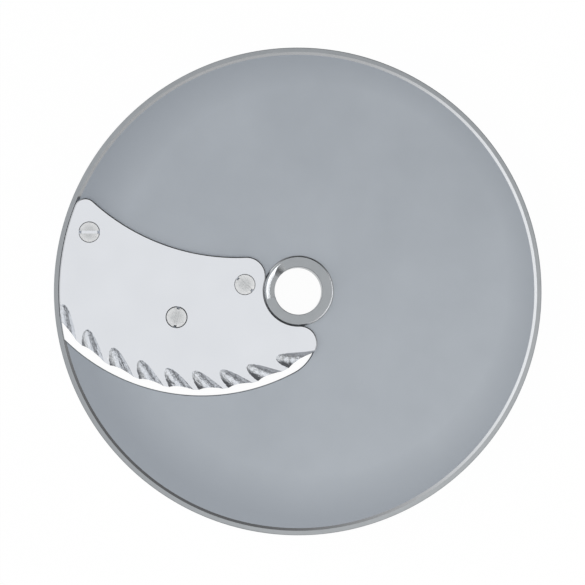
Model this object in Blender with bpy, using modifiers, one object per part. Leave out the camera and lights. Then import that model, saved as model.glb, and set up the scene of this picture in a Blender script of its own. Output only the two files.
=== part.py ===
"""Waffle cutting disc of a vegetable preparation machine.

A cast disc with a raised rim, a bored hub and a ramped drive recess carries a fluted sickle blade over a
curved throat, on a low pad, held by slotted countersunk screws. Metres, +Z up. The origin is on the hub's
axis, in the plane of the hub's lower seat face. Seen from above, the disc turns counterclockwise.
"""

import math

import bmesh
import bpy
from mathutils import Matrix, Vector

FIT_GAP = 0.0003
CUT_MARGIN = 0.002

# Disc plate and rim
DISC_DIAMETER = 0.205
PLATE_THICKNESS = 0.004
RIM_BAND = 0.0019
RIM_RISE = 0.0006
RIM_CHAMFER_RUN = 0.0011
EDGE_BREAK = 0.0003

# Hub, from its bore outwards and from the plate up and down
BORE_DIAMETER = 0.020
HUB_RING_WIDTH = 0.0045
HUB_RISE = 0.002
HUB_FOOT_FILLET = 0.0004
SEAT_RING_WIDTH = 0.007
SEAT_DROP = 0.008
SEAT_FILLET = 0.002

# Drive recess in the hub's upper face: flat floor from the dog end to the ramp, then rising to the end
RECESS_FLOOR_WIDTH = 0.002
RECESS_WALL_RUN = 0.0015
RECESS_DEPTH = 0.0014
RECESS_DOG_ANGLE = math.radians(195)
RECESS_RAMP_ANGLE = math.radians(146)
RECESS_END_ANGLE = math.radians(120)

# Blade outline: arcs about the disc's axis, a cutting edge, a back edge and three rounded corners
BLADE_THICKNESS = 0.0022
BLADE_RIM_GAP = 0.0004
CUTTING_CENTER = Vector((-0.0405, 0.0353))
CUTTING_RADIUS = 0.0769
CUTTING_BEVEL_ANGLE = math.radians(50)
BACK_CENTER = Vector((-0.0259, 0.1035))
BACK_RADIUS = 0.0894
HEEL_CORNER_RADIUS = 0.0047
SHOULDER_CORNER_RADIUS = 0.008
FINGER_RADIUS = 0.0072
FINGER_OVERRUN = 0.0007

# Pad that the blade is screwed down on
PAD_HEIGHT = 0.0005
PAD_INSET = 0.0015

# Throat under the cutting edge
THROAT_GAP = 0.0023
THROAT_FLARE = 0.003
THROAT_LIP_CHAMFER = 0.0004
THROAT_SETBACK = 0.0055
THROAT_RAKE_ANGLE = math.radians(40)
THROAT_END_RADIUS = 0.01725
THROAT_END_LAG = math.radians(7.5)
THROAT_HEEL_LAP = math.radians(1.5)

# Flutes, each ground along a circle about the disc's axis, and deepest just past the cutting edge
FLUTE_PITCH = 0.00868
FLUTE_OUTER_INSET = 0.0013
FLUTE_LENGTH = 0.0107
FLUTE_RUN_OUT = 0.0023
FLUTE_DEPTH = 0.0012
FLUTE_FORM_RADIUS = 0.0065

# Slotted countersunk screws
SCREW_THREAD_DIAMETER = 0.005
SCREW_HEAD_DIAMETER = 0.0086
SCREW_HEAD_LAND = 0.0003
SCREW_HEAD_SINK = 0.0001
SCREW_TIP_INSET = 0.0003
SCREW_TIP_CHAMFER = 0.0006
SLOT_WIDTH = 0.0012
SLOT_DEPTH = 0.0012
OUTER_SCREW_MARGIN = 0.0092
INNER_SCREW_MARGIN = 0.008
MIDDLE_SCREW_RADIUS = 0.0523
OUTER_SCREW_ANGLE = math.radians(164.4)
MIDDLE_SCREW_ANGLE = math.radians(192.3)
INNER_SCREW_ANGLE = math.radians(173.5)
OUTER_SLOT_ANGLE = math.radians(0)
MIDDLE_SLOT_ANGLE = math.radians(80)
INNER_SLOT_ANGLE = math.radians(-40)

# Fineness of the round surfaces
TURNED_STEPS = 120
SCREW_STEPS = 32
BEVEL_STEPS = 180
LONG_ARC_STEPS = 24
SHORT_ARC_STEPS = 10
FILLET_STEPS = 3
FLUTE_PATH_STEPS = 24
FLUTE_RING_RESOLUTION = 16

DISC_RADIUS = DISC_DIAMETER / 2
BORE_RADIUS = BORE_DIAMETER / 2
HUB_RADIUS = BORE_RADIUS + HUB_RING_WIDTH
SEAT_RADIUS = BORE_RADIUS + SEAT_RING_WIDTH
RIM_INNER_RADIUS = DISC_RADIUS - RIM_BAND

UNDERSIDE_Z = SEAT_DROP
FACE_Z = UNDERSIDE_Z + PLATE_THICKNESS
HUB_TOP_Z = FACE_Z + HUB_RISE
RIM_TOP_Z = FACE_Z + RIM_RISE
PAD_Z = FACE_Z + PAD_HEIGHT
BLADE_LOW_Z = PAD_Z + FIT_GAP
BLADE_TOP_Z = BLADE_LOW_Z + BLADE_THICKNESS

BLADE_OUTER_RADIUS = RIM_INNER_RADIUS - BLADE_RIM_GAP
NOTCH_RADIUS = HUB_RADIUS + FIT_GAP
AXIS = Vector((0, 0))


def polar(center, radius, angle):
    return center + radius * Vector((math.cos(angle), math.sin(angle)))


def angle_of(center, point):
    offset = point - center
    return math.atan2(offset.y, offset.x)


def crossings(center_a, radius_a, center_b, radius_b):
    """The two points where a pair of circles cross, the one on the left of the line from a to b first."""
    line = center_b - center_a
    distance = line.length
    along = (radius_a**2 - radius_b**2 + distance**2) / (2 * distance)
    aside = math.sqrt(radius_a**2 - along**2)
    forward = line / distance
    left = Vector((-forward.y, forward.x))
    foot = center_a + along * forward
    return foot + aside * left, foot - aside * left


def circle_through(first, middle, last):
    """Centre and radius of the circle through three points."""
    a = middle - first
    b = last - first
    double_area = 2 * (a.x * b.y - a.y * b.x)
    x = (b.y * a.length_squared - a.y * b.length_squared) / double_area
    y = (a.x * b.length_squared - b.x * a.length_squared) / double_area
    offset = Vector((x, y))
    return first + offset, offset.length


def arc(center, radius, start, end, turning, steps):
    """Points from one point to another round a centre, turning 1 for counterclockwise, -1 for clockwise."""
    first = angle_of(center, start)
    sweep = (turning * (angle_of(center, end) - first)) % math.tau
    return [polar(center, radius, first + turning * sweep * i / steps) for i in range(steps + 1)]


def chained(*arcs):
    """Arcs joined into one closed outline, each shared end kept once."""
    outline = []
    for i, part in enumerate(arcs):
        following = arcs[(i + 1) % len(arcs)][0]
        shared = (part[-1] - following).length < FIT_GAP
        outline += part[:-1] if shared else part
    return outline


def finger_place():
    """Centre of the finger's round end, which rides on the hub's notch and just overruns the cutting edge."""
    reach = CUTTING_RADIUS - FINGER_RADIUS + FINGER_OVERRUN
    return crossings(AXIS, NOTCH_RADIUS + FINGER_RADIUS, CUTTING_CENTER, reach)[0]


def blade_outline(inset, margin):
    """Clockwise outline, drawn in from the blade's own edge by inset, and past its cutting edge by margin."""
    outer_radius = BLADE_OUTER_RADIUS - inset
    back_radius = BACK_RADIUS + inset
    notch_radius = NOTCH_RADIUS + inset
    finger_radius = FINGER_RADIUS - inset
    heel_radius = HEEL_CORNER_RADIUS - inset
    shoulder_radius = SHOULDER_CORNER_RADIUS - inset
    front_radius = CUTTING_RADIUS + margin

    finger_center = finger_place()
    heel_center = crossings(
        AXIS, outer_radius - heel_radius, BACK_CENTER, back_radius + heel_radius
    )[0]
    shoulder_center = crossings(
        AXIS, notch_radius + shoulder_radius, BACK_CENTER, back_radius + shoulder_radius
    )[0]

    front_outer = crossings(AXIS, outer_radius, CUTTING_CENTER, front_radius)[0]
    heel_outer = polar(AXIS, outer_radius, angle_of(AXIS, heel_center))
    heel_back = polar(BACK_CENTER, back_radius, angle_of(BACK_CENTER, heel_center))
    shoulder_back = polar(BACK_CENTER, back_radius, angle_of(BACK_CENTER, shoulder_center))
    shoulder_notch = polar(AXIS, notch_radius, angle_of(AXIS, shoulder_center))
    finger_notch = polar(AXIS, notch_radius, angle_of(AXIS, finger_center))
    front_angle = angle_of(CUTTING_CENTER, finger_center)
    finger_end = polar(finger_center, finger_radius, front_angle)
    front_end = polar(CUTTING_CENTER, front_radius, front_angle)

    long, short = LONG_ARC_STEPS, SHORT_ARC_STEPS
    return chained(
        arc(AXIS, outer_radius, front_outer, heel_outer, -1, short),
        arc(heel_center, heel_radius, heel_outer, heel_back, -1, short),
        arc(BACK_CENTER, back_radius, heel_back, shoulder_back, 1, long),
        arc(shoulder_center, shoulder_radius, shoulder_back, shoulder_notch, -1, short),
        arc(AXIS, notch_radius, shoulder_notch, finger_notch, 1, long),
        arc(finger_center, finger_radius, finger_notch, finger_end, -1, short),
        arc(CUTTING_CENTER, front_radius, front_end, front_outer, -1, long),
    )


def throat_outline(setback, widening):
    """Counterclockwise outline of the throat, its rear edge behind the cutting edge by setback at the middle."""
    front_center = CUTTING_CENTER + Vector((0, THROAT_FLARE))
    front_radius = CUTTING_RADIUS + THROAT_GAP + THROAT_FLARE + widening
    end_radius = THROAT_END_RADIUS + widening
    end_angle = angle_of(CUTTING_CENTER, finger_place()) - THROAT_END_LAG
    end_center = polar(front_center, front_radius - end_radius, end_angle)

    front_outer = crossings(AXIS, BLADE_OUTER_RADIUS, front_center, front_radius)[0]
    front_end = polar(front_center, front_radius, end_angle)
    tip = crossings(end_center, end_radius, CUTTING_CENTER, CUTTING_RADIUS)[1]
    edge_outer = crossings(AXIS, BLADE_OUTER_RADIUS, CUTTING_CENTER, CUTTING_RADIUS)[0]
    heel_lap = THROAT_HEEL_LAP + (setback - THROAT_SETBACK) / BLADE_OUTER_RADIUS
    rear_outer = polar(AXIS, BLADE_OUTER_RADIUS, angle_of(AXIS, edge_outer) - heel_lap)
    rear_middle = polar(CUTTING_CENTER, CUTTING_RADIUS - setback, -math.pi / 2)
    rear_center, rear_radius = circle_through(rear_outer, rear_middle, tip)

    long, short = LONG_ARC_STEPS, SHORT_ARC_STEPS
    return chained(
        arc(front_center, front_radius, front_outer, front_end, 1, long),
        arc(end_center, end_radius, front_end, tip, 1, short),
        arc(rear_center, rear_radius, tip, rear_outer, -1, long),
        arc(AXIS, BLADE_OUTER_RADIUS, rear_outer, front_outer, 1, short),
    )


def screw_places():
    """Each screw's place, and the direction that its slot was left in."""
    outer = polar(AXIS, BLADE_OUTER_RADIUS - OUTER_SCREW_MARGIN, OUTER_SCREW_ANGLE)
    middle = polar(AXIS, MIDDLE_SCREW_RADIUS, MIDDLE_SCREW_ANGLE)
    inner = polar(AXIS, NOTCH_RADIUS + INNER_SCREW_MARGIN, INNER_SCREW_ANGLE)
    return {
        "outer": (outer, OUTER_SLOT_ANGLE),
        "middle": (middle, MIDDLE_SLOT_ANGLE),
        "inner": (inner, INNER_SLOT_ANGLE),
    }


def add_collection(name):
    collection = bpy.data.collections.new(name)
    bpy.context.scene.collection.children.link(collection)
    return collection


def add_material(name, color, roughness):
    material = bpy.data.materials.new(name)
    material.use_nodes = True
    shader = material.node_tree.nodes["Principled BSDF"]
    shader.inputs["Base Color"].default_value = (*color, 1)
    shader.inputs["Metallic"].default_value = 1
    shader.inputs["Roughness"].default_value = roughness
    return material


def add_object(name, mesh, collection):
    obj = bpy.data.objects.new(name, mesh)
    collection.objects.link(obj)
    return obj


def mesh_object(name, form, collection):
    """An object from a bmesh, with its faces pointing out."""
    bmesh.ops.recalc_face_normals(form, faces=form.faces)
    mesh = bpy.data.meshes.new(name)
    form.to_mesh(mesh)
    form.free()
    return add_object(name, mesh, collection)


def turned(name, profile, steps, collection):
    """A solid of revolution. The profile runs down its outer side, and closes on itself or on the axis."""
    mesh = bpy.data.meshes.new(name)
    on_axis = profile[0][0] == 0
    count = len(profile)
    edges = [(i, (i + 1) % count) for i in range(count - 1 if on_axis else count)]
    mesh.from_pydata([(radius, 0, height) for radius, height in profile], edges, [])
    obj = add_object(name, mesh, collection)
    screw = obj.modifiers.new("turn", "SCREW")
    screw.steps = steps
    screw.render_steps = steps
    screw.use_merge_vertices = True
    screw.merge_threshold = 0.00001
    return obj


def solid_from_curve(curve_object, name, collection):
    """The curve's own solid as a closed mesh object, in place of the curve."""
    bpy.context.view_layer.update()
    graph = bpy.context.evaluated_depsgraph_get()
    mesh = bpy.data.meshes.new_from_object(curve_object.evaluated_get(graph))
    form = bmesh.new()
    form.from_mesh(mesh)
    bpy.data.meshes.remove(mesh)
    bmesh.ops.remove_doubles(form, verts=form.verts, dist=0.000001)
    obj = mesh_object(name, form, collection)
    obj.matrix_world = curve_object.matrix_world
    bpy.data.objects.remove(curve_object)
    return obj


def extruded(name, outline, low, high, collection):
    """A flat outline given its thickness, from height low to height high."""
    curve = bpy.data.curves.new(name, "CURVE")
    curve.dimensions = "2D"
    curve.fill_mode = "BOTH"
    curve.extrude = (high - low) / 2
    spline = curve.splines.new("POLY")
    spline.points.add(len(outline) - 1)
    for spline_point, point in zip(spline.points, outline):
        spline_point.co = (point.x, point.y, 0, 1)
    spline.use_cyclic_u = True
    drawn = add_object(name + "_outline", curve, collection)
    drawn.location.z = (low + high) / 2
    return solid_from_curve(drawn, name, collection)


def lofted(name, sections, collection):
    """A solid skinned over closed sections of equal point counts, with its two end sections filled."""
    form = bmesh.new()
    rings = [[form.verts.new(point) for point in section] for section in sections]
    for lower, upper in zip(rings, rings[1:]):
        for i in range(len(lower)):
            form.faces.new((lower[i - 1], lower[i], upper[i], upper[i - 1]))
    form.faces.new(rings[0])
    form.faces.new(rings[-1])
    bmesh.ops.triangulate(form, faces=form.faces)
    return mesh_object(name, form, collection)


def combine(target, other, operation):
    """A Boolean on the target. The other object stays as a hidden wire."""
    boolean = target.modifiers.new(other.name, "BOOLEAN")
    boolean.operation = operation
    boolean.object = other
    other.hide_render = True
    other.display_type = "WIRE"


def settle(obj, material):
    """Applies the modifiers and shades the round surfaces smooth."""
    bpy.context.view_layer.update()
    graph = bpy.context.evaluated_depsgraph_get()
    mesh = bpy.data.meshes.new_from_object(obj.evaluated_get(graph))
    obj.modifiers.clear()
    obj.data = mesh
    mesh.name = obj.name
    mesh.materials.clear()
    mesh.materials.append(material)
    mesh.shade_smooth()
    mesh.set_sharp_from_angle(angle=math.radians(25))


def fillet_points(center_r, center_z, radius, start, end):
    """Profile points of a rounding, between two directions seen from its centre."""
    angles = [start + (end - start) * i / FILLET_STEPS for i in range(FILLET_STEPS + 1)]
    return [(center_r + radius * math.cos(a), center_z + radius * math.sin(a)) for a in angles]


def disc_profile():
    """Half section of the casting, from the top of the bore out over the rim and back under the hub."""
    return [
        (BORE_RADIUS, HUB_TOP_Z - EDGE_BREAK),
        (BORE_RADIUS + EDGE_BREAK, HUB_TOP_Z),
        (HUB_RADIUS - EDGE_BREAK, HUB_TOP_Z),
        (HUB_RADIUS, HUB_TOP_Z - EDGE_BREAK),
        *fillet_points(
            HUB_RADIUS + HUB_FOOT_FILLET,
            FACE_Z + HUB_FOOT_FILLET,
            HUB_FOOT_FILLET,
            math.pi,
            math.pi * 1.5,
        ),
        (RIM_INNER_RADIUS - RIM_CHAMFER_RUN, FACE_Z),
        (RIM_INNER_RADIUS, RIM_TOP_Z),
        (DISC_RADIUS - EDGE_BREAK, RIM_TOP_Z),
        (DISC_RADIUS, RIM_TOP_Z - EDGE_BREAK),
        (DISC_RADIUS, UNDERSIDE_Z + EDGE_BREAK),
        (DISC_RADIUS - EDGE_BREAK, UNDERSIDE_Z),
        *fillet_points(
            SEAT_RADIUS + SEAT_FILLET,
            UNDERSIDE_Z - SEAT_FILLET,
            SEAT_FILLET,
            math.pi / 2,
            math.pi,
        ),
        (SEAT_RADIUS, EDGE_BREAK),
        (SEAT_RADIUS - EDGE_BREAK, 0),
        (BORE_RADIUS + EDGE_BREAK, 0),
        (BORE_RADIUS, EDGE_BREAK),
    ]


def recess_section(angle):
    """Section of the drive recess's cutter at one angle: open to the bore, with a sloped outer wall."""
    rise = (RECESS_RAMP_ANGLE - angle) / (RECESS_RAMP_ANGLE - RECESS_END_ANGLE)
    floor_depth = RECESS_DEPTH * (1 - max(0, rise))
    slope = RECESS_WALL_RUN / RECESS_DEPTH
    wall_foot = BORE_RADIUS + RECESS_FLOOR_WIDTH + RECESS_WALL_RUN - floor_depth * slope
    wall_top = BORE_RADIUS + RECESS_FLOOR_WIDTH + RECESS_WALL_RUN + CUT_MARGIN * slope
    corners = [
        (BORE_RADIUS - CUT_MARGIN, HUB_TOP_Z - floor_depth),
        (wall_foot, HUB_TOP_Z - floor_depth),
        (wall_top, HUB_TOP_Z + CUT_MARGIN),
        (BORE_RADIUS - CUT_MARGIN, HUB_TOP_Z + CUT_MARGIN),
    ]
    return [(*polar(AXIS, radius, angle), height) for radius, height in corners]


def add_recess_cutter(cutters):
    sweep = RECESS_DOG_ANGLE - RECESS_END_ANGLE
    angles = [RECESS_END_ANGLE + sweep * i / LONG_ARC_STEPS for i in range(LONG_ARC_STEPS + 1)]
    angles = sorted([*angles, RECESS_RAMP_ANGLE])
    return lofted("drive_recess_cutter", [recess_section(angle) for angle in angles], cutters)


def throat_section(height, widening):
    """The throat's outline at one height: its rear wall leans back under the blade as it goes down."""
    setback = THROAT_SETBACK + (PAD_Z - height) * math.tan(THROAT_RAKE_ANGLE)
    return [(point.x, point.y, height) for point in throat_outline(setback, widening)]


def add_throat_cutter(cutters):
    sections = [
        throat_section(UNDERSIDE_Z - CUT_MARGIN, 0),
        throat_section(FACE_Z - THROAT_LIP_CHAMFER, 0),
        throat_section(FACE_Z, THROAT_LIP_CHAMFER),
        throat_section(RIM_TOP_Z + CUT_MARGIN, THROAT_LIP_CHAMFER),
    ]
    return lofted("throat_cutter", sections, cutters)


def screw_profile(clearance):
    """Half section of a countersunk screw, with clearance added all round for the hole that it fits."""
    head_radius = SCREW_HEAD_DIAMETER / 2 + clearance
    thread_radius = SCREW_THREAD_DIAMETER / 2 + clearance
    top = BLADE_TOP_Z - SCREW_HEAD_SINK
    cone_top = top - SCREW_HEAD_LAND
    cone_low = cone_top - (head_radius - thread_radius)
    tip = UNDERSIDE_Z + SCREW_TIP_INSET
    if clearance:
        top += CUT_MARGIN
        tip -= CUT_MARGIN
    return [
        (0, top),
        (head_radius, top),
        (head_radius, cone_top),
        (thread_radius, cone_low),
        (thread_radius, tip + SCREW_TIP_CHAMFER),
        (thread_radius - SCREW_TIP_CHAMFER, tip),
        (0, tip),
    ]


def add_disc(parts, cutters, material):
    disc = turned("disc", disc_profile(), TURNED_STEPS, parts)
    pad = extruded(
        "blade_pad", blade_outline(PAD_INSET, 0), FACE_Z - CUT_MARGIN, PAD_Z, cutters
    )
    combine(disc, pad, "UNION")
    combine(disc, add_throat_cutter(cutters), "DIFFERENCE")
    combine(disc, add_recess_cutter(cutters), "DIFFERENCE")
    for place_name, (place, _) in screw_places().items():
        hole = turned(place_name + "_screw_hole", screw_profile(FIT_GAP), SCREW_STEPS, cutters)
        hole.location = (*place, 0)
        combine(disc, hole, "DIFFERENCE")
    settle(disc, material)


def add_bevel_cone(cutters):
    """The cone whose side is the bevel under the cutting edge: the edge is where it meets the blade's top."""
    low = BLADE_LOW_Z - CUT_MARGIN
    high = BLADE_TOP_Z + CUT_MARGIN
    slope = 1 / math.tan(CUTTING_BEVEL_ANGLE)
    form = bmesh.new()
    bmesh.ops.create_cone(
        form,
        cap_ends=True,
        segments=BEVEL_STEPS,
        radius1=CUTTING_RADIUS - (BLADE_TOP_Z - low) * slope,
        radius2=CUTTING_RADIUS + (high - BLADE_TOP_Z) * slope,
        depth=high - low,
        matrix=Matrix.Translation((*CUTTING_CENTER, (low + high) / 2)),
    )
    return mesh_object("cutting_bevel", form, cutters)


def flute_path(edge_point):
    """Centre line of the rounded form that grinds one flute, dipping as it goes round the disc's axis."""
    reach = FLUTE_LENGTH + FLUTE_RUN_OUT
    dip_radius = (reach**2 + FLUTE_DEPTH**2) / (2 * FLUTE_DEPTH) - FLUTE_FORM_RADIUS
    lowest = BLADE_TOP_Z - FLUTE_DEPTH + FLUTE_FORM_RADIUS
    travel_radius = edge_point.length
    deepest_angle = angle_of(AXIS, edge_point) + FLUTE_RUN_OUT / travel_radius
    sweep = math.asin((reach + FLUTE_FORM_RADIUS) / dip_radius)
    path = []
    for i in range(FLUTE_PATH_STEPS + 1):
        dip_angle = sweep * (i / FLUTE_PATH_STEPS * 2 - 1)
        along = dip_radius * math.sin(dip_angle)
        height = lowest + dip_radius * (1 - math.cos(dip_angle))
        path.append((*polar(AXIS, travel_radius, deepest_angle + along / travel_radius), height))
    return path


def add_flute_cutter(name, edge_point, cutters):
    curve = bpy.data.curves.new(name, "CURVE")
    curve.dimensions = "3D"
    curve.bevel_depth = FLUTE_FORM_RADIUS
    curve.bevel_resolution = FLUTE_RING_RESOLUTION
    curve.use_fill_caps = True
    path = flute_path(edge_point)
    spline = curve.splines.new("POLY")
    spline.points.add(len(path) - 1)
    for spline_point, point in zip(spline.points, path):
        spline_point.co = (*point, 1)
    drawn = add_object(name + "_path", curve, cutters)
    return solid_from_curve(drawn, name, cutters)


def flute_edge_points():
    """Where each flute's centre line crosses the cutting edge, from the rim inwards at an even pitch."""
    innermost = finger_place().length + FINGER_RADIUS / 2
    radii = []
    radius = BLADE_OUTER_RADIUS - FLUTE_OUTER_INSET
    while radius > innermost:
        radii.append(radius)
        radius -= FLUTE_PITCH
    return [crossings(AXIS, radius, CUTTING_CENTER, CUTTING_RADIUS)[0] for radius in radii]


def add_blade(parts, cutters, material):
    outline = blade_outline(0, CUT_MARGIN)
    blade = extruded("blade", outline, BLADE_LOW_Z, BLADE_TOP_Z, parts)
    combine(blade, add_bevel_cone(cutters), "INTERSECT")
    for number, edge_point in enumerate(flute_edge_points(), 1):
        combine(blade, add_flute_cutter(f"flute_{number}", edge_point, cutters), "DIFFERENCE")
    for place_name, (place, _) in screw_places().items():
        sink = turned(place_name + "_countersink", screw_profile(FIT_GAP), SCREW_STEPS, cutters)
        sink.location = (*place, 0)
        combine(blade, sink, "DIFFERENCE")
    settle(blade, material)


def add_screw(name, place, slot_angle, parts, cutters, material):
    screw = turned(name, screw_profile(0), SCREW_STEPS, parts)
    screw.location = (*place, 0)
    slot_low = BLADE_TOP_Z - SCREW_HEAD_SINK - SLOT_DEPTH
    slot_size = (SCREW_HEAD_DIAMETER + CUT_MARGIN, SLOT_WIDTH, SLOT_DEPTH + CUT_MARGIN)
    form = bmesh.new()
    bmesh.ops.create_cube(form, size=1, matrix=Matrix.Diagonal((*slot_size, 1)))
    slot = mesh_object(name + "_slot", form, cutters)
    slot.location = (*place, slot_low + slot_size[2] / 2)
    slot.rotation_euler.z = slot_angle
    combine(screw, slot, "DIFFERENCE")
    settle(screw, material)


def main():
    for obj in list(bpy.data.objects):
        bpy.data.objects.remove(obj)
    parts = add_collection("waffle_cutting_disc")
    cutters = add_collection("cutters")
    cutters.hide_render = True

    casting = add_material("blasted_aluminium", (0.38, 0.40, 0.43), 0.45)
    polished = add_material("polished_steel", (0.75, 0.77, 0.80), 0.08)
    turned_steel = add_material("screw_steel", (0.60, 0.61, 0.62), 0.2)

    add_disc(parts, cutters, casting)
    add_blade(parts, cutters, polished)
    for place_name, (place, slot_angle) in screw_places().items():
        name = place_name + "_blade_screw"
        add_screw(name, place, slot_angle, parts, cutters, turned_steel)


main()
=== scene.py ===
"""Looks of a waffle cutting disc, on a white floor under soft studio light.

It is a blasted aluminium casting with turned and bright edges, a mirror polished blade with
ground flutes, and three screws. The modelled pieces have the CAD parts' own dimensions, with
finer curves and softened edges. Metres, +Z up.
"""

import math

import bmesh
import bpy
from mathutils import Matrix, Vector


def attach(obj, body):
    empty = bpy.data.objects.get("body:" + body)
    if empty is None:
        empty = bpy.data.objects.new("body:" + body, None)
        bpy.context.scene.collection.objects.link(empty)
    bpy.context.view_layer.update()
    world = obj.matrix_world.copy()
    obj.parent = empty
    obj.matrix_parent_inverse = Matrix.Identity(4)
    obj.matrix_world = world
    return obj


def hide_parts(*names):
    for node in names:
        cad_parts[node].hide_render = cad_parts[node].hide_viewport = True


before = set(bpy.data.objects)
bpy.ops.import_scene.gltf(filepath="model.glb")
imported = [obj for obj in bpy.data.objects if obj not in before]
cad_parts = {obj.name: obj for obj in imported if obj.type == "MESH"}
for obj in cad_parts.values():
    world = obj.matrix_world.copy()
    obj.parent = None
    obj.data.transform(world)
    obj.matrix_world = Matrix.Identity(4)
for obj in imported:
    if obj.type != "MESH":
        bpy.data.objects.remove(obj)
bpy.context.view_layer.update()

BODY = "root"

# Gap between pieces, how far a cutter reaches past what it cuts, and what counts as one point
FIT_GAP = 0.0003
CUT_MARGIN = 0.002
WELD_DISTANCE = 0.000001

# Disc plate and rim
DISC_DIAMETER = 0.205
PLATE_THICKNESS = 0.004
RIM_BAND = 0.0019
RIM_RISE = 0.0006
RIM_CHAMFER_RUN = 0.0011
EDGE_ROUND = 0.0003

# Hub, from its bore outwards and from the plate up and down
BORE_DIAMETER = 0.020
HUB_RING_WIDTH = 0.0045
HUB_RISE = 0.002
HUB_EDGE_RUN = 0.00036
HUB_EDGE_DROP = 0.00029
HUB_FOOT_FILLET = 0.0004
SEAT_RING_WIDTH = 0.007
SEAT_DROP = 0.008
SEAT_FILLET = 0.002

# Drive recess in the hub's upper face: flat from the dog end to the ramp, and then rising
RECESS_FLOOR_WIDTH = 0.002
RECESS_WALL_RUN = 0.0015
RECESS_DEPTH = 0.0014
RECESS_DOG_ANGLE = math.radians(195)
RECESS_RAMP_ANGLE = math.radians(146)
RECESS_END_ANGLE = math.radians(120)

# Blade outline: arcs about the disc's axis, a cutting edge, a back edge and three rounded corners
BLADE_THICKNESS = 0.0022
BLADE_EDGE_RUN = 0.00045
BLADE_EDGE_DROP = 0.00035
NOTCH_GAP = 0.00015
BLADE_RIM_GAP = 0.0004
CUTTING_CENTER = Vector((-0.0405, 0.0353))
CUTTING_RADIUS = 0.0769
CUTTING_BEVEL_ANGLE = math.radians(50)
BACK_CENTER = Vector((-0.0259, 0.1035))
BACK_RADIUS = 0.0894
HEEL_CORNER_RADIUS = 0.0047
SHOULDER_CORNER_RADIUS = 0.008
FINGER_RADIUS = 0.0072
FINGER_OVERRUN = 0.0007

# Pad that the blade is screwed down on
PAD_HEIGHT = 0.0005
PAD_INSET = 0.0015

# Throat under the cutting edge
THROAT_GAP = 0.0023
THROAT_FLARE = 0.003
THROAT_LIP_CHAMFER = 0.0004
THROAT_SETBACK = 0.0055
THROAT_RAKE_ANGLE = math.radians(40)
THROAT_END_RADIUS = 0.01725
THROAT_END_LAG = math.radians(7.5)
THROAT_HEEL_LAP = math.radians(1.5)

# Flutes, each ground along a circle about the disc's axis, and deepest just past the cutting edge
FLUTE_PITCH = 0.00868
FLUTE_OUTER_INSET = 0.0013
FLUTE_LENGTH = 0.0107
FLUTE_RUN_OUT = 0.0023
FLUTE_DEPTH = 0.0012
FLUTE_FORM_RADIUS = 0.0065

# Slotted countersunk screws
SCREW_THREAD_DIAMETER = 0.005
SCREW_HEAD_DIAMETER = 0.0086
SCREW_HEAD_LAND = 0.0003
SCREW_HEAD_SINK = 0.0001
SCREW_HEAD_ROUND = 0.00025
SCREW_TIP_INSET = 0.0003
SCREW_TIP_CHAMFER = 0.0006
SLOT_WIDTH = 0.0012
SLOT_DEPTH = 0.0012
OUTER_SCREW_MARGIN = 0.0092
INNER_SCREW_MARGIN = 0.008
MIDDLE_SCREW_RADIUS = 0.0523
OUTER_SCREW_ANGLE = math.radians(164.4)
MIDDLE_SCREW_ANGLE = math.radians(192.3)
INNER_SCREW_ANGLE = math.radians(173.5)
OUTER_SLOT_ANGLE = math.radians(0)
MIDDLE_SLOT_ANGLE = math.radians(80)
INNER_SLOT_ANGLE = math.radians(-40)

# Gap that shows round each screw head
OUTER_HEAD_GAP = 0.00014
MIDDLE_HEAD_GAP = 0.00028
INNER_HEAD_GAP = 0.0001

# Fineness of the round surfaces, and how their shading is smoothed
TURNED_STEPS = 480
SCREW_STEPS = 96
BEVEL_STEPS = 720
LONG_ARC_STEPS = 96
SHORT_ARC_STEPS = 32
FILLET_STEPS = 8
ROUND_STEPS = 4
FLUTE_PATH_STEPS = 96
FLUTE_RING_RESOLUTION = 46
SHARP_ANGLE = math.radians(28)
LARGE_FACE_WEIGHT = 100

# Radii and heights that follow from the sizes above
DISC_RADIUS = DISC_DIAMETER / 2
BORE_RADIUS = BORE_DIAMETER / 2
HUB_RADIUS = BORE_RADIUS + HUB_RING_WIDTH
SEAT_RADIUS = BORE_RADIUS + SEAT_RING_WIDTH
RIM_INNER_RADIUS = DISC_RADIUS - RIM_BAND
BLADE_OUTER_RADIUS = RIM_INNER_RADIUS - BLADE_RIM_GAP
NOTCH_RADIUS = HUB_RADIUS + NOTCH_GAP
UNDERSIDE_Z = SEAT_DROP
FACE_Z = UNDERSIDE_Z + PLATE_THICKNESS
HUB_TOP_Z = FACE_Z + HUB_RISE
RIM_TOP_Z = FACE_Z + RIM_RISE
PAD_Z = FACE_Z + PAD_HEIGHT
BLADE_LOW_Z = PAD_Z + FIT_GAP
BLADE_TOP_Z = BLADE_LOW_Z + BLADE_THICKNESS
AXIS = Vector((0, 0))

# Camera: where it looks, how it leans from upright, and its lens
LOOK_AT = Vector((-0.00248, -0.00069, RIM_TOP_Z))
CAMERA_TILT = math.radians(2.39)
CAMERA_LEAN_TO = Vector((-0.762, -0.648))
CAMERA_DISTANCE = 1.2
VIEW_WIDTH = 0.2457
SENSOR_WIDTH = 36

# Casting: share of the grain in its colour, and painted shade: a darker band along its rim,
# which is off centre so that it is widest at the lower left
GRAIN_SHARE = 0.4
PAINTED_RIM_SHADE_CENTER = Vector((0.0062, 0.005))
PAINTED_RIM_SHADE_START = 0.082
PAINTED_RIM_SHADE_COLOR = (0.482, 0.525, 0.583)

# The screw heads have a painted highlight along their margin, and one slot is bright too
PAINTED_HEAD_HIGHLIGHT_RADIUS = 0.0018
PAINTED_HEAD_HIGHLIGHT = 0.7
BRIGHT_SLOT = "outer"

# Floor
FLOOR_SIZE = 8
FLOOR_DROP = 0.0002
FLOOR_WHITE = 0.96
FLOOR_PAINT = 0.07
FLOOR_BOUNCE = 0.8

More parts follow.
